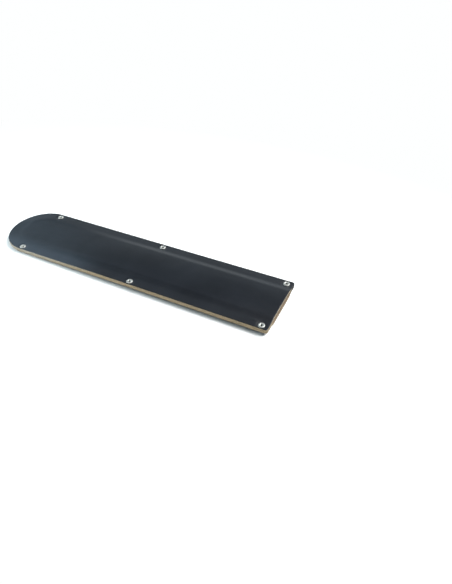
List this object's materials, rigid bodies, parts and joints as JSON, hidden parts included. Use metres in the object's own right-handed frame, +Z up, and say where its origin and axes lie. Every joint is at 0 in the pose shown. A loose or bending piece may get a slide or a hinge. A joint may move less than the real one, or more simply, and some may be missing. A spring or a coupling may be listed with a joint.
{
  "type": "knife blade guard",
  "caption": "Flat riveted leather sleeve with a round tip and one open end, slipped over a chef's knife blade to cover its edge and point.",
  "frame": {"origin": "on the face that the guard lies on, midway along its length and width", "axes": "+X along the guard towards its open mouth, +Y towards the side that covers the blade's spine, +Z up out of the front panel"},
  "size_m": [0.29, 0.063, 0.0083],
  "materials": {
    "black_leather": "smooth black-dyed grain with raw tan cut edges",
    "nickel": "bright nickel plate",
    "washer_steel": "plated steel"
  },
  "bodies": {
    "root": {"front_panel": "black_leather", "back_panel": "black_leather", "rivet_spine_tip": "nickel", "rivet_spine_middle": "nickel", "rivet_spine_mouth": "nickel", "rivet_edge_tip": "nickel", "rivet_edge_middle": "nickel", "rivet_edge_mouth": "nickel", "washer_spine_tip": "washer_steel", "washer_spine_middle": "washer_steel", "washer_spine_mouth": "washer_steel", "washer_edge_tip": "washer_steel", "washer_edge_middle": "washer_steel", "washer_edge_mouth": "washer_steel"}
  },
  "joints": []
}
